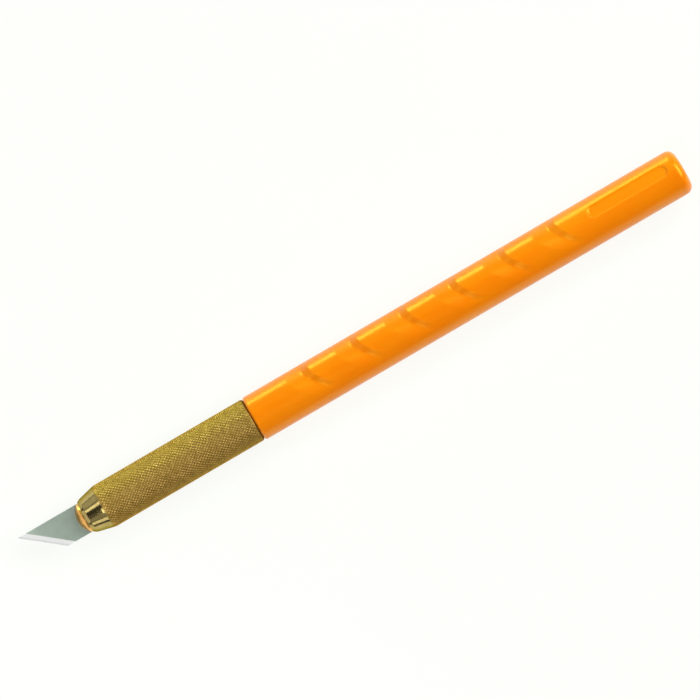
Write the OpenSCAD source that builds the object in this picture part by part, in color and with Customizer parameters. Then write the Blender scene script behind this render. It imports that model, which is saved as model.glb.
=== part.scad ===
// Hobby craft knife: a round moulded handle, a brass collet chuck inside a knurled sleeve,
// and a slanted blade.
// The knife lies along X. The blade's point is at -X, the blade is level, and the knife's
// lowest line is on z = 0 under the middle of its length.
// Distances called "from the point" run along the knife, starting at the blade's point.

/* [Knife] */
// Length from the blade's point to the end of the handle
knife_length = 143; // [142.5:0.5:150]
// From the point to the front of the collet's rounded nose
collet_from_point = 11.3; // [11.2:0.1:11.8]
// From the point to the sleeve's front edge
sleeve_from_point = 12.95; // [12.8:0.05:13.1]
// From the point to the handle's front face, where the sleeve ends
handle_from_point = 49.6; // [48.7:0.1:50.2]

/* [Handle] */
// Diameter of the round handle
handle_d = 9.04; // [9:0.02:9.4]
// Radius that rounds the handle's far end
end_round_r = 1.6; // [0.6:0.1:2]
// Chamfer on the handle's front edge
handle_chamfer = 0.3; // [0.1:0.05:0.5]

/* [Grip scallops] */
// Number of scallops in each of the two rows
scallop_count = 6; // [1:1:6]
// Distance from one scallop to the next
scallop_pitch = 10.72; // [10.4:0.02:10.8]
// Width of a scallop along the knife
scallop_w = 4.9; // [4:0.1:5.4]
// Depth of a scallop at its middle
scallop_depth = 0.6; // [0.2:0.05:0.7]
// How far round from the top the deepest line of a row lies, in degrees
scallop_turn = -30; // [-40:1:-20]
// How far a scallop reaches round the handle from that line, in degrees
scallop_reach = 61; // [55:1:70]
// Slant of a scallop against a plain ring around the handle, in degrees
scallop_slant = 45; // [30:1:50]
// How far round from the top the slanted ring comes nearest the blade, in degrees
slant_turn = -50; // [-60:1:-40]
// From the handle's front face to the first scallop's middle where it is nearest the blade
scallop_first = 11.2; // [11:0.1:12]

/* [Panel] */
// Length of the blank sunk panel near the handle's end
panel_length = 17; // [12:0.5:17]
// Width of the panel
panel_w = 2.6; // [2:0.1:3]
// Depth of the panel at its long edges
panel_depth = 0.12; // [0.05:0.01:0.3]
// From the panel to the handle's end
panel_from_end = 2.9; // [2.5:0.1:3.5]
// How far round from the top the panel lies, in degrees
panel_turn = -21; // [-30:1:-15]

/* [Knurled sleeve] */
// Outer diameter over the knurling
sleeve_d = 8.86; // [8.8:0.02:9]
// Outer diameter of the nose's front edge
nose_edge_d = 6.3; // [6.2:0.05:6.4]
// Outer diameter of the nose behind its rounded front edge
nose_front_d = 7.1; // [7:0.1:7.3]
// Outer diameter where the polished nose meets the knurling
nose_back_d = 8.5; // [8.3:0.05:8.6]
// Length of the rounded front edge
nose_round = 0.65; // [0.5:0.05:0.8]
// Length of the polished nose
nose_length = 3.5; // [3.2:0.1:3.8]
// Length of the bevel at the front of the knurling
knurl_bevel = 0.9; // [0.5:0.1:1.2]
// Chamfer at the sleeve's rear edge
sleeve_chamfer = 0.4; // [0.2:0.05:0.5]
// Bore diameter of the sleeve around the collet
sleeve_bore_d = 5.5; // [5.4:0.05:5.7]

/* [Collet] */
// Diameter of the collet where its rounded nose leaves the sleeve
collet_nose_d = 5.9; // [5.88:0.02:5.96]
// Radius of the rounded nose
collet_dome_r = 4; // [3.8:0.1:4.2]
// Diameter of the small end of the tapered head
collet_taper_d = 5.2; // [5.1:0.05:5.25]
// Length of the tapered head inside the sleeve
collet_taper_length = 2; // [1.8:0.1:2.4]
// Diameter of the collet's body behind the head
collet_body_d = 4.9; // [4.8:0.05:5]
// From the point to the bottom of the blade slit
slit_from_point = 35; // [34.5:0.5:36]
// Diameter of the hole across the bottom of the slit, which lets the jaws flex
relief_d = 1.2; // [0.8:0.1:1.6]
// From the point to the start of the threaded shank
shank_from_point = 39; // [38:0.5:40]
// Diameter over the shank's thread
shank_d = 4; // [3.9:0.05:4]
// Length of the threaded shank
shank_length = 20; // [18:0.5:20]
// Free length of the bore behind the shank
shank_room = 4; // [2:0.5:6]

/* [Threaded insert] */
// Diameter of the spigot that the sleeve turns on
spigot_d = 6.2; // [6.1:0.05:6.25]
// Length of the spigot in front of the handle
spigot_length = 5.2; // [4:0.1:5.5]
// Diameter of the part moulded into the handle
insert_d = 6.8; // [6.6:0.1:7]
// Length of the part moulded into the handle
insert_length = 11.6; // [11:0.1:12]
// Width of each of the two grooves that lock the insert in the plastic
insert_groove_w = 1; // [0.8:0.1:1.2]
// Depth of those grooves
insert_groove_depth = 0.4; // [0.3:0.05:0.5]

/* [Blade] */
// Width of the blade
blade_w = 6; // [6:0.05:6.1]
// Thickness of the blade
blade_t = 0.45; // [0.4:0.01:0.5]
// Angle between the cutting edge and the back of the blade, in degrees
blade_angle = 39; // [38:1:44]
// Width of the ground bevel along the cutting edge
bevel_w = 1.1; // [0.6:0.05:1.3]
// Width of the tang that the collet grips
tang_w = 4.4; // [4:0.1:4.5]
// Overall length of the blade
blade_length = 34; // [32:0.5:34]
// Length of the blade's full width that the sleeve's edge hides
shoulder_cover = 0.2; // [0.1:0.05:0.3]
// Length over which the blade narrows to its tang
shoulder_length = 0.4; // [0.2:0.1:0.8]

/* [Hidden] */
$fn = 96;

// Clearances: running fit, thread, sliding blade, and seated faces
run_gap = 0.05;
thread_gap = 0.03;
blade_gap = 0.01;
seat_gap = 0.01;
// Space between the spigot's front end and the bottom of the sleeve's counterbore
counterbore_gap = 0.3;
// Overlap that makes a cut pass cleanly through a face
over = 1;
// Where the insert's two grooves start, as shares of the length moulded in
insert_groove_places = [0.25, 0.6];

handle_r = handle_d / 2;
sleeve_r = sleeve_d / 2;
axis_z = handle_r;
taper_from_point = sleeve_from_point + collet_taper_length;
insert_from_point = handle_from_point - spigot_length;
counterbore_from_point = insert_from_point - counterbore_gap;
// The eccentric cylinder that is the floor of a row of scallops meets the handle at their reach
scallop_shift = scallop_depth * (handle_d - scallop_depth)
    / (handle_d * (1 - cos(scallop_reach)) - 2 * scallop_depth);
scallop_floor_r = handle_r + scallop_shift - scallop_depth;
blade_shoulder = sleeve_from_point - shoulder_cover;
// Remaining width of the cutting edge
edge_t = 0.02;

// Puts a solid of revolution made about Z on the knife's axis, with z measured from the point
module on_axis() {
    translate([-knife_length / 2, 0, axis_z]) rotate([0, 90, 0]) children();
}

// Turns to a place round the handle, 0 being the top and negative angles being towards +Y
module round_from_top(angle) {
    translate([-knife_length / 2, 0, axis_z]) rotate([angle, 0, 0]) children();
}

// Outline of the handle's blank: a rod with a chamfered front and a rounded far end
module handle_outline() {
    flat_r = handle_r - end_round_r;
    straight_end = knife_length - end_round_r;
    polygon([
        [0, handle_from_point],
        [handle_r - handle_chamfer, handle_from_point],
        [handle_r, handle_from_point + handle_chamfer],
        [handle_r, straight_end],
        [0, straight_end]
    ]);
    translate([0, straight_end - over]) square([flat_r, end_round_r + over]);
    translate([flat_r, straight_end]) circle(end_round_r);
}

// One row of slanted scallops, deepest along a line and running out at both ends
module scallop_row(side) {
    slab = scallop_w * cos(scallop_slant);
    rise = handle_r * tan(scallop_slant);
    first = handle_from_point + scallop_first + rise;
    // Longer and deeper than the handle is thick, so the slanted slabs reach past it all round
    block = 4 * handle_d;
    difference() {
        round_from_top(slant_turn + side) for (i = [0 : scallop_count - 1]) {
            translate([first + i * scallop_pitch, 0, 0]) rotate([0, -scallop_slant, 0])
                cube([slab, block, block], center = true);
        }
        round_from_top(scallop_turn + side) translate([-block, 0, -scallop_shift])
            rotate([0, 90, 0]) cylinder(r = scallop_floor_r, h = knife_length + 2 * block);
    }
}

// Blank panel with round ends, sunk flat into the side of the handle
module panel_recess() {
    end_r = panel_w / 2;
    straight = panel_length - panel_w;
    floor_z = sqrt(handle_r * handle_r - end_r * end_r) - panel_depth;
    from_point = knife_length - panel_from_end - panel_length + end_r;
    round_from_top(panel_turn) translate([from_point, 0, floor_z])
        linear_extrude(height = handle_r) {
            circle(end_r);
            translate([straight, 0]) circle(end_r);
            translate([0, -end_r]) square([straight, panel_w]);
        }
}

// Outside of the threaded insert, with its spigot and two locking grooves
module insert_outline() {
    insert_r = insert_d / 2;
    insert_end = handle_from_point + insert_length;
    difference() {
        union() {
            translate([0, insert_from_point]) square([spigot_d / 2, spigot_length + over]);
            translate([0, handle_from_point]) square([insert_r, insert_length]);
        }
        for (place = insert_groove_places) {
            translate([insert_r - insert_groove_depth, handle_from_point + place * insert_length])
                square([insert_groove_depth + over, insert_groove_w]);
        }
    }
}

module handle() {
    bore_end = shank_from_point + shank_length + shank_room;
    color("darkorange") difference() {
        on_axis() rotate_extrude() handle_outline();
        on_axis() rotate_extrude() insert_outline();
        on_axis() cylinder(d = shank_d + 2 * thread_gap, h = bore_end);
        for (side = [0, 180]) {
            scallop_row(side);
        }
        panel_recess();
    }
}

module threaded_insert() {
    color("peru") difference() {
        on_axis() rotate_extrude() insert_outline();
        on_axis() cylinder(d = shank_d + 2 * thread_gap, h = knife_length);
    }
}

// Outside of the sleeve: rounded front edge, polished nose, bevel and knurled barrel
module sleeve_outline() {
    nose_end = sleeve_from_point + nose_length;
    barrel_start = nose_end + knurl_bevel;
    difference() {
        polygon([
            [0, sleeve_from_point],
            [nose_edge_d / 2, sleeve_from_point],
            [nose_front_d / 2, sleeve_from_point + nose_round],
            [nose_back_d / 2, nose_end],
            [sleeve_r, barrel_start],
            [sleeve_r, handle_from_point - sleeve_chamfer - seat_gap],
            [sleeve_r - sleeve_chamfer, handle_from_point - seat_gap],
            [0, handle_from_point - seat_gap]
        ]);
        sleeve_bore_outline();
    }
}

// Inside of the sleeve: tapered seat for the collet, bore and counterbore for the spigot
module sleeve_bore_outline() {
    polygon([
        [0, sleeve_from_point - over],
        [collet_nose_d / 2 + seat_gap, sleeve_from_point - over],
        [collet_nose_d / 2 + seat_gap, sleeve_from_point],
        [collet_taper_d / 2 + seat_gap, taper_from_point],
        [sleeve_bore_d / 2, taper_from_point],
        [sleeve_bore_d / 2, counterbore_from_point],
        [spigot_d / 2 + run_gap, counterbore_from_point],
        [spigot_d / 2 + run_gap, handle_from_point + over],
        [0, handle_from_point + over]
    ]);
}

module knurled_sleeve() {
    color("darkkhaki") on_axis() rotate_extrude() sleeve_outline();
}

// Outside of the collet: rounded nose, tapered head, body and threaded shank
module collet_outline() {
    intersection() {
        translate([0, collet_from_point + collet_dome_r]) circle(collet_dome_r);
        translate([0, collet_from_point - over])
            square([collet_nose_d / 2, sleeve_from_point - collet_from_point + over]);
    }
    polygon([
        [0, sleeve_from_point],
        [collet_nose_d / 2, sleeve_from_point],
        [collet_taper_d / 2, taper_from_point],
        [collet_body_d / 2, taper_from_point],
        [collet_body_d / 2, shank_from_point],
        [shank_d / 2, shank_from_point],
        [shank_d / 2, shank_from_point + shank_length],
        [0, shank_from_point + shank_length]
    ]);
}

module collet() {
    slit_t = blade_t + 2 * blade_gap;
    slit_length = slit_from_point - collet_from_point + over;
    color("goldenrod") difference() {
        on_axis() rotate_extrude() collet_outline();
        translate([-knife_length / 2 + collet_from_point - over, -handle_d / 2, axis_z - slit_t / 2])
            cube([slit_length, handle_d, slit_t]);
        translate([-knife_length / 2 + slit_from_point, 0, axis_z]) rotate([90, 0, 0])
            cylinder(d = relief_d, h = handle_d, center = true);
    }
}

// Flat outline of the blade, its back towards +Y
module blade_outline() {
    half_w = blade_w / 2;
    half_tang = tang_w / 2;
    heel = blade_w / tan(blade_angle);
    tang_start = blade_shoulder + shoulder_length;
    polygon([
        [0, half_w],
        [heel, -half_w],
        [blade_shoulder, -half_w],
        [tang_start, -half_tang],
        [blade_length, -half_tang],
        [blade_length, half_tang],
        [tang_start, half_tang],
        [blade_shoulder, half_w]
    ]);
}

// Wedge that grinds one side of the cutting edge
module bevel_cut() {
    edge_length = blade_w / sin(blade_angle);
    grind = atan((blade_t - edge_t) / 2 / bevel_w);
    translate([0, blade_w / 2, edge_t / 2]) rotate([0, 0, -blade_angle]) rotate([grind, 0, 0])
        translate([-edge_length, -edge_length, 0]) cube([3 * edge_length, 3 * edge_length, over]);
}

module blade() {
    color("lightslategray") translate([-knife_length / 2, 0, axis_z]) difference() {
        translate([0, 0, -blade_t / 2]) linear_extrude(height = blade_t) blade_outline();
        bevel_cut();
        mirror([0, 0, 1]) bevel_cut();
    }
}

handle();
threaded_insert();
knurled_sleeve();
collet();
blade();
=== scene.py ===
import math

import bmesh
import bpy
from mathutils import Matrix, Vector


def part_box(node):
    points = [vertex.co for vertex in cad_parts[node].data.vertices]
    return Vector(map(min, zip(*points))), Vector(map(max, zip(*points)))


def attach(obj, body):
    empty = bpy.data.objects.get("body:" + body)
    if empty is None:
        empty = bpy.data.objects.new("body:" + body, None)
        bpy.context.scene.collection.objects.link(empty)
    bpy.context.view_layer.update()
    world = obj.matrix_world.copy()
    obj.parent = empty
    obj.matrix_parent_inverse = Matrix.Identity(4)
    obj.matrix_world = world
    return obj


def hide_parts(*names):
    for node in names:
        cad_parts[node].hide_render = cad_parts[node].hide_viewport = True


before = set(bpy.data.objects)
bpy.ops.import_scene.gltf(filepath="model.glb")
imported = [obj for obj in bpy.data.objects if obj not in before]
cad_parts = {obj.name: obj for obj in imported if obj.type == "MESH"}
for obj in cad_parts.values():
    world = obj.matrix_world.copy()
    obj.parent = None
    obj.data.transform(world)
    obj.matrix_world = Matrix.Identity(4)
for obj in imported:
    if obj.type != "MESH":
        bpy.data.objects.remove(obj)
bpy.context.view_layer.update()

# ---------------------------------------------------------------------------
# Places and sizes. Everything along the knife is in millimetres from the blade's point,
# and everything across it is in millimetres from the knife's axis.
# ---------------------------------------------------------------------------
MM = 0.001
# A difference in millimetres that counts as none
TINY = 1e-6


def span(node):
    """Where a CAD node starts and ends, from the blade's point, and its outer radius."""
    low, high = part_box(node)
    return ((low.x - POINT_X) / MM, (high.x - POINT_X) / MM, (high.z - low.z) / 2 / MM)


POINT_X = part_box("blade")[0].x
AXIS_Z = sum(c.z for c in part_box("handle")) / 2
HANDLE_START, HANDLE_END, HANDLE_R = span("handle")
SLEEVE_START, SLEEVE_END, SLEEVE_R = span("knurled_sleeve")
COLLET_START, COLLET_END, COLLET_NOSE_R = span("collet")
INSERT_START, INSERT_END, INSERT_R = span("threaded_insert")
BLADE_END = span("blade")[1]
BLADE_HALF_W = (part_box("blade")[1].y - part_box("blade")[0].y) / 2 / MM
BLADE_HALF_T = (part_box("blade")[1].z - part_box("blade")[0].z) / 2 / MM

# Inner sizes, as in the CAD
SHANK_R, SHANK_START, SHANK_ROOM = 2.0, 39.0, 4
THREAD_PITCH, THREAD_GAP = 0.7, 0.03
SPIGOT_R, SLEEVE_BORE_R, COUNTERBORE_R, COUNTERBORE_GAP = 3.1, 2.75, 3.15, 0.3
SEAT_FRONT_R, SEAT_R, SEAT_LENGTH = 2.96, 2.61, 2.0
COLLET_DOME_R, COLLET_BODY_R, COLLET_TAPER_R = 4.0, 2.45, 2.6
SLIT_END, SLIT_GAP, RELIEF_R = 35.0, 0.01, 0.6
# The insert's two locking grooves. Their places are shares of the length moulded into the handle.
GROOVE_PLACES, GROOVE_W, GROOVE_DEPTH = (0.25, 0.6), 1, 0.4
# A cutter's reach past the part it cuts, and its size across the part
CUTTER_OVER, CUTTER_ACROSS = 1, 10


# ---------------------------------------------------------------------------
# Mesh making
# ---------------------------------------------------------------------------
def place(s, r, turn):
    """A point at s from the blade's point and r from the axis.

    turn is 0 at the top and grows towards -Y.
    """
    return Vector((POINT_X + s * MM, -r * math.sin(turn) * MM, AXIS_Z + r * math.cos(turn) * MM))


def outline(corners, arc_steps=5):
    """A profile of (s, r) points, from corners (s, r, fillet radius)."""
    made = []
    for i, (s, r, fillet) in enumerate(corners):
        here = Vector((s, r))
        if not fillet or i in (0, len(corners) - 1):
            made.append(here)
            continue
        to_last = Vector(corners[i - 1][:2]) - here
        to_next = Vector(corners[i + 1][:2]) - here
        half = to_last.angle(to_next) / 2
        # A fillet takes up less than half of each stretch, so that neighbours don't meet
        reach = min(fillet / math.tan(half), to_last.length * 0.49, to_next.length * 0.49)
        radius = reach * math.tan(half)
        inwards = (to_last.normalized() + to_next.normalized()).normalized()
        middle = here + inwards * radius / math.sin(half)
        first = here + to_last.normalized() * reach - middle
        last = here + to_next.normalized() * reach - middle
        turn = first.angle_signed(last)
        for k in range(arc_steps + 1):
            made.append(middle + Matrix.Rotation(-turn * k / arc_steps, 2) @ first)
    return [(p.x, p.y) for p in made]


def fill(points, start, end, step):
    """Splits the profile's long stretches between start and end into steps."""
    made = [points[0]]
    for (s0, r0), (s1, r1) in zip(points, points[1:]):
        inside = min(s0, s1) >= start - TINY and max(s0, s1) <= end + TINY
        count = max(1, math.ceil(math.hypot(s1 - s0, r1 - r0) / step)) if inside else 1
        for k in range(1, count + 1):
            made.append((s0 + (s1 - s0) * k / count, r0 + (r1 - r0) * k / count))
    return made


def lathe(name, profile, columns, shape=None):
    """A closed solid turned about the axis.

    shape(s, r, turn) moves a point of the profile to its own s and r.
    """
    bm = bmesh.new()
    rings = []
    for s, r in profile:
        if r < TINY:
            rings.append([bm.verts.new(place(s, 0, 0))])
            continue
        ring = []
        for j in range(columns):
            turn = 2 * math.pi * j / columns
            at = shape(s, r, turn) if shape else (s, r)
            ring.append(bm.verts.new(place(*at, turn)))
        rings.append(ring)
    closed = len(rings[0]) > 1
    pairs = list(zip(rings, rings[1:])) + ([(rings[-1], rings[0])] if closed else [])
    for a, b in pairs:
        for j in range(columns):
            k = (j + 1) % columns
            corner = [a[j % len(a)], a[k % len(a)], b[k % len(b)], b[j % len(b)]]
            bm.faces.new(list(dict.fromkeys(corner)))
    return finished(name, bm)


def finished(name, bm, crease=35):
    """Turns a bmesh into an object with outward faces, smooth but for creases."""
    bmesh.ops.recalc_face_normals(bm, faces=bm.faces)
    mesh = bpy.data.meshes.new(name)
    bm.to_mesh(mesh)
    bm.free()
    made = bpy.data.objects.new(name, mesh)
    bpy.context.scene.collection.objects.link(made)
    smooth(made, crease)
    return made


def smooth(obj, crease):
    """Shades faces smooth, apart from edges that turn more than crease degrees."""
    obj.data.polygons.foreach_set("use_smooth", [True] * len(obj.data.polygons))
    obj.data.set_sharp_from_angle(angle=math.radians(crease))


def apply_modifiers(obj):
    """Puts the result of an object's modifiers into its mesh."""
    graph = bpy.context.evaluated_depsgraph_get()
    mesh = bpy.data.meshes.new_from_object(obj.evaluated_get(graph))
    obj.modifiers.clear()
    obj.data = mesh


def clamp(x, low, high):
    """The number, kept between low and high."""
    return min(max(x, low), high)


def ramp(x, low, high):
    """0 below low, 1 above high, and a smooth step between."""
    t = clamp((x - low) / (high - low), 0, 1)
    return t * t * (3 - 2 * t)


def steps(start, end, step):
    """Even steps from start up to, but not including, end."""
    count = max(1, math.ceil((end - start) / step))
    return [start + (end - start) * k / count for k in range(count)]


def turned(name, node, body, profile, columns, material, shape=None):
    """A turned piece with its material, that takes the place of a CAD node and rides on a body."""
    piece = lathe(name, profile, columns, shape)
    piece.data.materials.append(material)
    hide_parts(node)
    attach(piece, body)
    return piece


# ---------------------------------------------------------------------------
# Materials
# ---------------------------------------------------------------------------
class Nodes:
    """Short calls for building one material's node tree."""

    def __init__(self, name):
        self.material = bpy.data.materials.new(name)
        self.material.use_nodes = True
        self.tree = self.material.node_tree
        self.shader = self.tree.nodes["Principled BSDF"]
        self.coords = self.add("ShaderNodeTexCoord").outputs["Object"]

    def add(self, kind, **values):
        node = self.tree.nodes.new(kind)
        for key, value in values.items():
            if hasattr(node, key):
                setattr(node, key, value)
            else:
                node.inputs[key.replace("_", " ")].default_value = value
        return node

    def link(self, out, into):
        self.tree.links.new(out, into)

    def stretched(self, x, y, z):
        """Object coordinates scaled along each axis."""
        node = self.add("ShaderNodeMapping")
        node.inputs["Scale"].default_value = (x, y, z)
        self.link(self.coords, node.inputs["Vector"])
        return node.outputs["Vector"]

    def noise(self, vector, scale, detail=3.0, roughness=0.5):
        node = self.add("ShaderNodeTexNoise", Scale=scale, Detail=detail, Roughness=roughness)
        self.link(vector, node.inputs["Vector"])
        return node.outputs["Fac"]

    def between(self, factor, low, high, at_low=0.0, at_high=1.0):
        """Maps a number from at_low..at_high to low..high."""
        node = self.add("ShaderNodeMapRange")
        limits = {"From Min": at_low, "From Max": at_high, "To Min": low, "To Max": high}
        for key, value in limits.items():
            node.inputs[key].default_value = value
        self.link(factor, node.inputs["Value"])
        return node.outputs["Result"]

    def mix(self, factor, first, second):
        """Mixes two colours, given as tuples or sockets."""
        node = self.add("ShaderNodeMix", data_type="RGBA")
        # The colour mix node's factor and two colours are its sockets 0, 6 and 7
        sockets = (node.inputs[0], node.inputs[6], node.inputs[7])
        for value, socket in zip((factor, first, second), sockets):
            if isinstance(value, bpy.types.NodeSocket):
                self.link(value, socket)
            elif isinstance(value, tuple):
                socket.default_value = (*value, 1)
            else:
                socket.default_value = value
        return node.outputs[2]

    def maths(self, operation, *values):
        node = self.add("ShaderNodeMath", operation=operation)
        for i, value in enumerate(values):
            if isinstance(value, bpy.types.NodeSocket):
                self.link(value, node.inputs[i])
            else:
                node.inputs[i].default_value = value
        return node.outputs["Value"]

    def bump(self, height, strength, distance, below=None):
        node = self.add("ShaderNodeBump", Strength=strength, Distance=distance)
        self.link(height, node.inputs["Height"])
        if below:
            self.link(below, node.inputs["Normal"])
        return node.outputs["Normal"]

    def axis_radius(self):
        """Distance from the knife's axis, in metres."""
        part = self.add("ShaderNodeSeparateXYZ")
        self.link(self.coords, part.inputs["Vector"])
        up = self.maths("SUBTRACT", part.outputs["Z"], AXIS_Z)
        across = self.maths("MULTIPLY", part.outputs["Y"], part.outputs["Y"])
        return self.maths("SQRT", self.maths("ADD", across, self.maths("MULTIPLY", up, up)))

    def along(self):
        """Distance from the blade's point, in metres."""
        part = self.add("ShaderNodeSeparateXYZ")
        self.link(self.coords, part.inputs["Vector"])
        return self.maths("SUBTRACT", part.outputs["X"], POINT_X)

    def set(self, **values):
        for key, value in values.items():
            socket = self.shader.inputs[key.replace("_", " ")]
            if isinstance(value, bpy.types.NodeSocket):
                self.link(value, socket)
            elif socket.type == "RGBA":
                socket.default_value = (*value, 1)
            else:
                socket.default_value = value
        return self.material


def orange_plastic():
    """Glossy orange plastic that lets a little light in, with faint flow marks."""
    n = Nodes("orange_plastic")
    cloud = n.noise(n.stretched(0.4, 1, 1), 180, 2)
    colour = n.mix(n.between(cloud, 0, 1, 0.35, 0.65), (0.97, 0.225, 0.001), (0.98, 0.25, 0.0015))
    flow = n.noise(n.stretched(0.25, 1, 1), 420, 3)
    fine = n.noise(n.coords, 2600, 2)
    normal = n.bump(fine, 0.04, 0.00002, n.bump(flow, 0.06, 0.0001))
    wear = n.noise(n.stretched(0.5, 1, 1), 900, 4)
    rough = n.between(wear, 0.29, 0.33, 0.3, 0.7)
    n.shader.subsurface_method = "RANDOM_WALK"
    n.set(Subsurface_Weight=0.15, Subsurface_Scale=0.0012, Subsurface_Radius=(1.0, 0.45, 0.08))
    return n.set(Base_Color=colour, Roughness=rough, Normal=normal, IOR=1.8,
                 Specular_Tint=(1.0, 0.85, 0.08))


def brass(name, bright, dull, low_rough, high_rough, rings):
    """Turned brass: fine lathe marks round the axis, patches of tarnish, uneven polish."""
    n = Nodes(name)
    tarnish = n.noise(n.coords, 900, 4)
    marks = n.noise(n.stretched(1, 0.02, 0.02), rings, 2)
    colour = n.mix(n.between(tarnish, 0, 1, 0.4, 0.62), bright, dull)
    rough = n.between(n.noise(n.coords, 1500, 3), low_rough, high_rough, 0.35, 0.65)
    return n.set(Base_Color=colour, Metallic=1.0, Roughness=rough, Normal=n.bump(marks, 0.05, 0.00001))


def sleeve_brass():
    """Polished brass at the nose, and a duller knurl whose grooves are painted darker as painted
    shade.
    """
    n = Nodes("sleeve_brass")
    knurled = n.between(n.along(), 0, 1, (KNURL_START - 0.7) * MM, (KNURL_START - 0.3) * MM)
    root, crest_r = (SLEEVE_R - KNURL_DEPTH) * MM, (SLEEVE_R - 0.02) * MM
    # Painted shade: the deeper a point lies in the knurl's grooves, the darker its colour
    groove_shade = n.between(n.axis_radius(), 1, 0, root, crest_r)
    grime = n.noise(n.coords, 1100, 4)
    polished = n.mix(n.between(grime, 0, 1, 0.4, 0.65), (0.48, 0.38, 0.14), (0.42, 0.32, 0.11))
    crest = n.mix(n.between(grime, 0, 1, 0.35, 0.65), (0.76, 0.48, 0.13), (0.5, 0.31, 0.07))
    # The knurl's crest colour fades to a dark brass in the grooves, which is painted shade
    barrel = n.mix(groove_shade, crest, (0.27, 0.165, 0.035))
    nose_rough = n.between(grime, 0.12, 0.18, 0.3, 0.7)
    rough = n.maths("ADD", nose_rough, n.maths("MULTIPLY", knurled, 0.32))
    marks = n.noise(n.stretched(1, 0.02, 0.02), 9000, 2)
    return n.set(Base_Color=n.mix(knurled, polished, barrel), Metallic=1.0, Roughness=rough,
                 Specular_Tint=(0.45, 0.4, 0.2), Normal=n.bump(marks, 0.02, 0.00001))


def blade_steel():
    """Satin steel, with the ground edge painted near white as a painted highlight."""
    n = Nodes("blade_steel")
    part = n.add("ShaderNodeSeparateXYZ")
    n.link(n.coords, part.inputs["Vector"])
    from_back = n.maths("SUBTRACT", BLADE_HALF_W * MM, part.outputs["Y"])
    back = n.maths("MULTIPLY", from_back, math.cos(BLADE_ANGLE))
    from_edge = n.maths("SUBTRACT", n.maths("MULTIPLY", n.along(), math.sin(BLADE_ANGLE)), back)
    ground_w = GRIND[-1][0]
    # Painted highlight: this mask gives the ground edge a near-white colour
    ground_highlight = n.between(from_edge, 1, 0, (ground_w - 0.04) * MM, ground_w * MM)
    grain = n.noise(n.stretched(1, 0.04, 1), 12000, 3)
    cloud = n.noise(n.coords, 500, 3)
    face = n.mix(n.between(cloud, 0, 1, 0.35, 0.65), (0.42, 0.505, 0.43), (0.385, 0.455, 0.39))
    # The near-white colour on the ground edge is a painted highlight
    colour = n.mix(ground_highlight, face, (0.93, 0.93, 0.92))
    face_rough = n.between(grain, 0.36, 0.5, 0.3, 0.7)
    rough = n.maths("ADD", face_rough, n.maths("MULTIPLY", ground_highlight, 0.12))
    return n.set(Base_Color=colour, Metallic=1.0, Roughness=rough, Normal=n.bump(grain, 0.12, 0.00001))


# ---------------------------------------------------------------------------
# Handle
# ---------------------------------------------------------------------------
# The scallops, the distance between them, their width and the part of it that is the wall
SCALLOP_COUNT, SCALLOP_PITCH, SCALLOP_W, WALL_W = 6, 10.72, 4.9, 1.5
SCALLOP_DEPTH, SCALLOP_TURN, SCALLOP_REACH = 0.6, math.radians(-30), math.radians(61)
SLANT, SLANT_TURN = math.radians(45), math.radians(-50)
# Between these places, counted from SLANT_TURN, the slant is that of a plane. The rest leads back.
PLANE_START, PLANE_END = math.radians(-45), math.radians(85)
# Where the first scallop of a row starts, where it comes nearest the blade
SCALLOP_FIRST = HANDLE_START + 11.2 - SCALLOP_W / 2
SCALLOP_LAST = SCALLOP_FIRST + (SCALLOP_COUNT - 1) * SCALLOP_PITCH + SCALLOP_W
# Rounding where a scallop's floor meets its wall, as a share of its depth, and at its rim
FOOT_ROUND, RIM_ROUND = 0.3, 0.03
END_ROUND, HANDLE_CHAMFER = 1.6, 0.3
PANEL_LENGTH, PANEL_W, PANEL_DEPTH, PANEL_TURN = 17.0, 2.6, 0.12, math.radians(-21)
PANEL_END = HANDLE_END - 2.9
# How far inside the panel's outline its rounded edge starts and ends
PANEL_EDGE_START, PANEL_EDGE_END = -0.14, 0.3
# The rows of points start to slant at LEAD_START and are straight again at LEAD_END
LEAD_START, LEAD_END = SCALLOP_FIRST - 7, SCALLOP_LAST + 9
LEAD_IN, LEAD_OUT = 6, 8


def half_turn(angle, start):
    """The angle, less whole half turns, so that it lies between start and start plus a half turn."""
    return (angle - start) % math.pi + start


def scallop_floor(turn):
    """How deep the two rows of scallops are sunk, at a place round the handle.

    Each row's floor is an eccentric cylinder that meets the handle at the scallops' reach.
    """
    d = 2 * HANDLE_R
    drop = d * (1 - math.cos(SCALLOP_REACH)) - 2 * SCALLOP_DEPTH
    shift = SCALLOP_DEPTH * (d - SCALLOP_DEPTH) / drop
    floor_r = HANDLE_R + shift - SCALLOP_DEPTH
    away = half_turn(turn - SCALLOP_TURN, -math.pi / 2)
    floor = math.sqrt(floor_r**2 - (shift * math.sin(away)) ** 2) - shift * math.cos(away)
    return max(HANDLE_R - floor, 0)


def slant_rise(turn):
    """How far along the handle the slanted scallops have moved on, at a place round it."""
    rise = HANDLE_R * math.tan(SLANT)
    away = half_turn(turn - SLANT_TURN, PLANE_START)
    if away > PLANE_END:
        back = (away - PLANE_END) / (math.pi + PLANE_START - PLANE_END)
        return rise * (1 - math.cos(PLANE_END) * (1 - back) - math.cos(PLANE_START) * back)
    return rise * (1 - math.cos(away))


def soft_min(a, b, width):
    """The smaller of two, with the corner between them rounded."""
    near = max(width - abs(a - b), 0) / width
    return min(a, b) - near * near * width / 4


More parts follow.
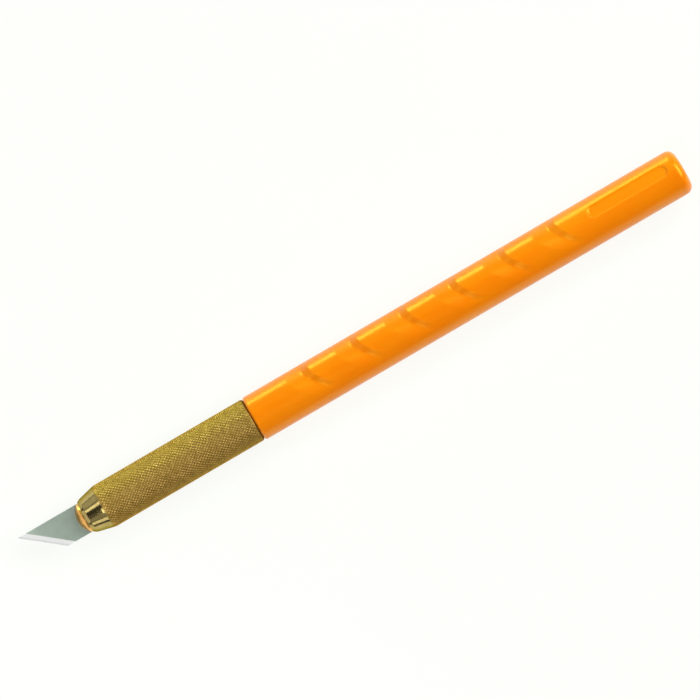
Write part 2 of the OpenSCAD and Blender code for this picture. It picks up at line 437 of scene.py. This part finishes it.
def scallop_relief(s, turn):
    """Scallops that deepen away from the blade and end in a steep wall. s follows the slant."""
    deepest = scallop_floor(turn)
    if deepest <= 0:
        return 0
    past = s - SCALLOP_FIRST
    # A point just before a scallop belongs to it, so that its rounded rim is whole
    which = clamp(math.floor(past / SCALLOP_PITCH + 0.1), 0, SCALLOP_COUNT - 1)
    u = past - SCALLOP_PITCH * which
    floor = deepest * u / (SCALLOP_W - WALL_W)
    wall = deepest * (SCALLOP_W - u) / WALL_W
    return -soft_min(-soft_min(floor, wall, FOOT_ROUND * deepest), 0, RIM_ROUND)


def panel_relief(s, turn):
    """A flat-floored panel with round ends."""
    off = (turn - PANEL_TURN + math.pi) % (2 * math.pi) - math.pi
    if abs(off) > 1:
        return 0
    half_w, half_l = PANEL_W / 2, PANEL_LENGTH / 2
    across = HANDLE_R * math.sin(off)
    along = max(abs(s - (PANEL_END - half_l)) - (half_l - half_w), 0)
    inside = half_w - math.hypot(across, along)
    floor = (math.sqrt(HANDLE_R**2 - half_w**2) - PANEL_DEPTH) / math.cos(off)
    return max(HANDLE_R - floor, 0) * ramp(inside, PANEL_EDGE_START, PANEL_EDGE_END)


def handle_shape(s, r, turn):
    """Slants the rows of points to run with the scallops, and sinks scallops and panel."""
    if r < HANDLE_R - TINY:
        return s, r
    slanted = clamp((s - LEAD_START) / LEAD_IN, 0, 1) * clamp((LEAD_END - s) / LEAD_OUT, 0, 1)
    moved = s + slant_rise(turn) * slanted
    return moved, r - max(scallop_relief(s, turn), panel_relief(moved, turn))


def handle_rows():
    """Where the rows of points run: close together at each scallop's edges and over the panel."""
    near, past_wall = 0.3, 0.2
    rows = steps(HANDLE_START + HANDLE_CHAMFER + near, SCALLOP_FIRST - near, 0.8)
    for i in range(SCALLOP_COUNT):
        s = SCALLOP_FIRST + i * SCALLOP_PITCH
        wall_foot = s + SCALLOP_W - WALL_W
        wall_top = s + SCALLOP_W + past_wall
        rows += steps(s - near, s + near, 0.12)
        rows += steps(s + near, wall_foot - near, 0.55)
        rows += steps(wall_foot - near, wall_top, 0.1)
        rows += steps(wall_top, s + SCALLOP_PITCH - near, 0.9)
    rows = [s for s in rows if s < SCALLOP_LAST + 1]
    return rows + steps(SCALLOP_LAST + 1, HANDLE_END - END_ROUND - 0.2, 0.16)


def groove_corners():
    """Corners of the insert's locking grooves, from the handle's front face inwards."""
    floor_r = INSERT_R - GROOVE_DEPTH
    corners = []
    for part in GROOVE_PLACES:
        s = HANDLE_START + part * (INSERT_END - HANDLE_START)
        end = s + GROOVE_W
        corners += [(s, INSERT_R, 0), (s, floor_r, 0), (end, floor_r, 0), (end, INSERT_R, 0)]
    return corners


def make_handle(material):
    """The moulding: blind bore with ribs for the insert, chamfered front, scallops, round end."""
    bore_r, bore_end = SHANK_R + THREAD_GAP, COLLET_END + SHANK_ROOM
    corners = [(bore_end, 0, 0), (bore_end, bore_r, 0), (INSERT_END, bore_r, 0),
               (INSERT_END, INSERT_R, 0)]
    corners += groove_corners()[::-1]
    corners += [(HANDLE_START, INSERT_R, 0), (HANDLE_START, HANDLE_R - HANDLE_CHAMFER, 0.1),
                (HANDLE_START + HANDLE_CHAMFER, HANDLE_R, 0.15), (HANDLE_END, HANDLE_R, END_ROUND),
                (HANDLE_END, 0, 0)]
    profile = outline(corners, arc_steps=10)
    front_end = HANDLE_START + HANDLE_CHAMFER + 0.2
    split = 1 + max(i for i, (s, r) in enumerate(profile) if s < front_end)
    profile[split:split] = [(s, HANDLE_R) for s in handle_rows()]
    return turned("handle_moulding", "handle", "handle", profile, 216, material,
                  handle_shape)


# ---------------------------------------------------------------------------
# Brass parts
# ---------------------------------------------------------------------------
# Outside of the sleeve's nose: a rounded front edge, then a polished cone
NOSE_EDGE_R, NOSE_FRONT_R, NOSE_BACK_R = 3.15, 3.55, 4.25
NOSE_ROUND, NOSE_LENGTH, KNURL_BEVEL, SLEEVE_CHAMFER = 0.65, 3.5, 0.9, 0.4
KNURL_START = SLEEVE_START + NOSE_LENGTH + KNURL_BEVEL
KNURL_END = SLEEVE_END - 0.45
# Diamonds round the sleeve, their length, the depth between them, and points across one
KNURL_AROUND, KNURL_PITCH, KNURL_DEPTH, KNURL_SAMPLES = 42, 0.76, 0.13, 6
# Above 1, this flattens the tops of the knurl's diamonds and of the thread
FLATTEN = 1.25
# Depth of the thread on the shank, and of the one in the insert's bore
SHANK_THREAD, BORE_THREAD = 0.36, 0.34
# Rows of points to one turn of a thread
THREAD_SAMPLES = 8


def triangle(x):
    """1 half way between whole numbers, and 0 on them."""
    return 2 * abs(x - math.floor(x + 0.5))


def knurl_shape(s, r, turn):
    """Diamonds between two crossing sets of helical grooves."""
    if r < SLEEVE_R - 0.5 or s < KNURL_START - 1:
        return s, r
    u = KNURL_AROUND * turn / (2 * math.pi)
    v = (s - KNURL_START) / KNURL_PITCH
    diamond = min(min(triangle(u + v), triangle(u - v)) * FLATTEN, 1)
    fade = ramp(s, KNURL_START - 0.4, KNURL_START + 0.1) * (1 - ramp(s, KNURL_END, KNURL_END + 0.2))
    return s, r - KNURL_DEPTH * (1 - diamond) * fade


def make_sleeve(material):
    """The sleeve: polished nose, knurled barrel, and a bore with the collet's seat."""
    counterbore, seat_end = INSERT_START - COUNTERBORE_GAP, SLEEVE_START + SEAT_LENGTH
    corners = [
        (SLEEVE_START, SEAT_FRONT_R, 0.04), (SLEEVE_START, NOSE_EDGE_R, 0.12),
        (SLEEVE_START + NOSE_ROUND, NOSE_FRONT_R, 0.5),
        (SLEEVE_START + NOSE_LENGTH, NOSE_BACK_R, 0.1), (KNURL_START, SLEEVE_R, 0.1),
        (SLEEVE_END - SLEEVE_CHAMFER, SLEEVE_R, 0.1), (SLEEVE_END, SLEEVE_R - SLEEVE_CHAMFER, 0.08),
        (SLEEVE_END, COUNTERBORE_R, 0.05), (counterbore, COUNTERBORE_R, 0),
        (counterbore, SLEEVE_BORE_R, 0), (seat_end, SLEEVE_BORE_R, 0), (seat_end, SEAT_R, 0),
    ]
    profile = fill(outline(corners), KNURL_START - 1.2, SLEEVE_END, KNURL_PITCH / KNURL_SAMPLES)
    return turned("sleeve_turned", "knurled_sleeve", "sleeve", profile,
                  KNURL_AROUND * KNURL_SAMPLES, material, knurl_shape)


def thread_depth(s, turn):
    """Right-handed triangular thread, 0 at the crest and 1 at the root."""
    phase = s / THREAD_PITCH - turn / (2 * math.pi)
    return clamp(FLATTEN * triangle(phase) - 0.1, 0, 1)


def shank_shape(s, r, turn):
    """The thread on the collet's shank, which fades out at both ends."""
    first = SHANK_START + 0.5
    if s < first or r < SHANK_R - 0.3:
        return s, r
    fade = ramp(s, first, SHANK_START + 1.2) * (1 - ramp(s, COLLET_END - 0.5, COLLET_END - 0.1))
    return s, r - SHANK_THREAD * thread_depth(s, turn) * fade


def make_collet(material):
    """The collet: domed nose, tapered head, body and threaded shank, with the slit cut in it."""
    dome = []
    arcs = 28
    last = math.asin(COLLET_NOSE_R / COLLET_DOME_R)
    for k in range(arcs + 1):
        angle = last * k / arcs
        s = COLLET_START + COLLET_DOME_R * (1 - math.cos(angle))
        dome.append((s, COLLET_DOME_R * math.sin(angle)))
    seat_end = SLEEVE_START + SEAT_LENGTH
    corners = [
        (*dome[-1], 0), (SLEEVE_START, COLLET_NOSE_R, 0),
        (seat_end, COLLET_TAPER_R, 0), (seat_end, COLLET_BODY_R, 0),
        (SHANK_START, COLLET_BODY_R, 0.2), (SHANK_START, SHANK_R, 0.2), (COLLET_END, SHANK_R, 0.3),
        (COLLET_END, 0, 0),
    ]
    rest = fill(outline(corners)[1:], SHANK_START + 0.2, COLLET_END, THREAD_PITCH / THREAD_SAMPLES)
    piece = lathe("collet_turned", dome + rest, 96, shank_shape)
    cut_slit(piece)
    piece.data.materials.append(material)
    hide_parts("collet")
    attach(piece, "collet")
    return piece


def cut_slit(piece):
    """Saws the blade slit and drills the relief hole at its end."""
    half_slit = BLADE_HALF_T + SLIT_GAP
    slit, hole = bmesh.new(), bmesh.new()
    bmesh.ops.create_cube(slit, size=1)
    for v in slit.verts:
        s = COLLET_START - CUTTER_OVER if v.co.x < 0 else SLIT_END
        z = AXIS_Z + math.copysign(half_slit, v.co.z) * MM
        v.co = Vector((POINT_X + s * MM, v.co.y * CUTTER_ACROSS * MM, z))
    relief = RELIEF_R * MM
    bmesh.ops.create_cone(hole, cap_ends=True, segments=32, radius1=relief, radius2=relief,
                          depth=CUTTER_ACROSS * MM)
    slit_bottom = Matrix.Translation((POINT_X + SLIT_END * MM, 0, AXIS_Z))
    hole.transform(slit_bottom @ Matrix.Rotation(math.pi / 2, 4, "X"))
    for cutter in (finished("slit_cutter", slit), finished("hole_cutter", hole)):
        cut = piece.modifiers.new("cut", "BOOLEAN")
        cut.operation, cut.object, cut.solver = "DIFFERENCE", cutter, "EXACT"
        apply_modifiers(piece)
        bpy.data.objects.remove(cutter)
    smooth(piece, 30)


def insert_shape(s, r, turn):
    """The thread in the insert's bore, in step with the one on the collet's shank."""
    first, last = INSERT_START + 0.4, INSERT_END - 0.4
    if r > SHANK_R + 2 * THREAD_GAP or not first < s < last:
        return s, r
    fade = ramp(s, first, INSERT_START + 1) * (1 - ramp(s, INSERT_END - 1, last))
    return s, r - BORE_THREAD * thread_depth(s, turn) * fade


def make_insert(material):
    """The threaded insert: spigot for the sleeve, grooved body, threaded bore."""
    bore_r = SHANK_R + THREAD_GAP
    corners = [(INSERT_START, bore_r, 0), (INSERT_START, SPIGOT_R, 0.2), (HANDLE_START, SPIGOT_R, 0),
               (HANDLE_START, INSERT_R, 0)]
    corners += groove_corners()
    corners += [(INSERT_END, INSERT_R, 0), (INSERT_END, bore_r, 0)]
    bore_ends = [(INSERT_END, bore_r), (INSERT_START, bore_r)]
    bore = fill(bore_ends, INSERT_START, INSERT_END, THREAD_PITCH / THREAD_SAMPLES)
    profile = outline(corners) + bore[1:-1]
    return turned("insert_turned", "threaded_insert", "handle", profile, 96, material,
                  insert_shape)


# ---------------------------------------------------------------------------
# Blade
# ---------------------------------------------------------------------------
BLADE_ANGLE = math.radians(39)
# The full width ends just in front of the sleeve's edge, and the tang starts just behind it
SHOULDER, TANG_START, TANG_HALF_W = SLEEVE_START - 0.2, SLEEVE_START + 0.2, 2.2
# The ground edge: distance from the edge and half thickness there
GRIND = ((0.0, 0.004), (0.28, 0.125), (1.1, BLADE_HALF_T))
# Width of the rounding on the blade's square rims
RIM_W = 0.15


def make_blade(material):
    """The blade: slanted ground edge, flat faces, shoulders and tang, with slightly rounded rims."""
    bm = bmesh.new()
    heel = 2 * BLADE_HALF_W / math.tan(BLADE_ANGLE)
    back = [(d / math.sin(BLADE_ANGLE), BLADE_HALF_W, h) for d, h in GRIND]
    belly = [(heel + d / math.sin(BLADE_ANGLE), -BLADE_HALF_W, h) for d, h in GRIND]
    full = BLADE_HALF_T
    tail = [(SHOULDER, -BLADE_HALF_W, full), (TANG_START, -TANG_HALF_W, full),
            (BLADE_END, -TANG_HALF_W, full), (BLADE_END, TANG_HALF_W, full),
            (TANG_START, TANG_HALF_W, full), (SHOULDER, BLADE_HALF_W, full)]
    rim = back[::-1] + belly + tail

    def side(sign):
        return [bm.verts.new((POINT_X + s * MM, y * MM, AXIS_Z + sign * h * MM)) for s, y, h in rim]

    rows = len(GRIND)
    top, under = side(1), side(-1)
    for face in (top, under):
        for i in range(rows - 1):
            bm.faces.new((face[i], face[i + 1], face[2 * rows - 2 - i], face[2 * rows - 1 - i]))
        bm.faces.new([face[0], *face[2 * rows - 1:]])
    for i in range(len(rim)):
        k = (i + 1) % len(rim)
        bm.faces.new((top[i], top[k], under[k], under[i]))
    piece = finished("blade_ground", bm, crease=8)
    rounding = piece.modifiers.new("edges", "BEVEL")
    rounding.width, rounding.segments = RIM_W * MM, 3
    # Only the square rims are rounded, and not the ground edge
    rounding.limit_method, rounding.angle_limit = "ANGLE", math.radians(80)
    apply_modifiers(piece)
    smooth(piece, 8)
    piece.data.materials.append(material)
    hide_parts("blade")
    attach(piece, "blade")
    return piece


# ---------------------------------------------------------------------------
# Stage
# ---------------------------------------------------------------------------
def make_floor():
    """A plain pale floor, bright enough to leave only a faint shadow."""
    bm = bmesh.new()
    bmesh.ops.create_grid(bm, x_segments=1, y_segments=1, size=3)
    floor = finished("floor", bm)
    n = Nodes("pale_floor")
    paper = n.noise(n.coords, 40, 2)
    colour = n.mix(paper, (0.12, 0.12, 0.115), (0.13, 0.13, 0.125))
    n.set(Base_Color=colour, Roughness=0.3, IOR=1.5)
    n.set(Emission_Color=(0.985, 1.0, 0.965), Emission_Strength=0.87)
    floor.data.materials.append(n.material)


def soft_box(name, place, size, radiance, colour=(1, 1, 1)):
    """A rectangular light at place that faces the knife."""
    data = bpy.data.lights.new(name, "AREA")
    data.color = colour
    data.shape, data.size, data.size_y = "RECTANGLE", size[0], size[1]
    data.energy = radiance * math.pi * size[0] * size[1]
    light = bpy.data.objects.new(name, data)
    light.location = Vector(place)
    light.rotation_euler = (light.location - Vector((0, 0, AXIS_Z))).to_track_quat("Z", "Y").to_euler()
    bpy.context.scene.collection.objects.link(light)
    return light


def strip_light(name, angle, distance, across, start, end, radiance, colour=(1, 1, 1)):
    """A soft strip that runs beside the knife. angle is from overhead, and positive towards -Y."""
    a = math.radians(angle)
    side = (0, -math.sin(a) * distance, AXIS_Z + math.cos(a) * distance)
    light = soft_box(name, side, (end - start, across), radiance, colour)
    light.rotation_euler = (a, 0, 0)
    light.location.x = (start + end) / 2


def light_scene():
    """One large light, and strips that are mirrored in the handle, the barrel, the nose and the blade.

    The nose is a cone, so it mirrors lights far out beyond the blade. The handle and the barrel mirror
    only lights that are level with them along the knife.
    """
    soft_box("key", (0.9, 0.15, 0.85), (1.3, 0.6), 7.2)
    soft_box("nose_light", (-0.8, 0, 0.25), (0.9, 0.35), 0.9)
    strip_light("blade_light", 17, 0.75, 0.32, -0.42, -0.14, 3.6)
    strip_light("side_high", -84, 1.2, 0.25, -0.08, 0.16, 16.0, (0.75, 1, 0.5))
    strip_light("handle_sheen", -46, 1.2, 0.8, 0.0, 0.4, 0.8, (0.6, 1, 0.35))
    strip_light("nose_strip_high", -30, 0.7, 0.2, -0.75, -0.12, 1.9)
    strip_light("nose_wall_high", -66, 0.9, 0.66, -0.9, -0.12, 0.6)
    strip_light("nose_strip_low", 66, 0.7, 0.22, -0.75, -0.12, 1.5)
    strip_light("nose_wall_low", 40, 0.9, 0.38, -0.9, -0.12, 0.35)
    world = bpy.data.worlds.new("studio")
    world.use_nodes = True
    world.node_tree.nodes["Background"].inputs["Color"].default_value = (0.05, 0.05, 0.05, 1)
    bpy.context.scene.world = world


# How the knife lies in the photo: its turn, the place at the middle, and the width shown
KNIFE_TURN = math.radians(30.24)
VIEW_X, VIEW_Y = 0.29 * MM, 2.11 * MM
VIEW_SPAN = 131.66 * MM


def make_camera():
    """A long lens straight above the knife."""
    data = bpy.data.cameras.new("camera")
    data.lens, data.sensor_width = 300, 36
    data.clip_start, data.clip_end = 0.01, 10
    camera = bpy.data.objects.new("camera", data)
    distance = VIEW_SPAN * data.lens / data.sensor_width
    camera.location = (VIEW_X, VIEW_Y, AXIS_Z + distance)
    camera.rotation_euler = (0, 0, -KNIFE_TURN)
    bpy.context.scene.collection.objects.link(camera)
    bpy.context.scene.camera = camera


make_camera()
light_scene()
make_floor()
make_handle(orange_plastic())
make_insert(brass("insert_brass", (0.8, 0.6, 0.26), (0.66, 0.48, 0.19), 0.2, 0.32, 9000))
make_sleeve(sleeve_brass())
make_collet(brass("collet_brass", (0.97, 0.52, 0.15), (0.88, 0.43, 0.11), 0.26, 0.36, 12000))
make_blade(blade_steel())
bpy.context.scene.view_settings.view_transform = "Standard"
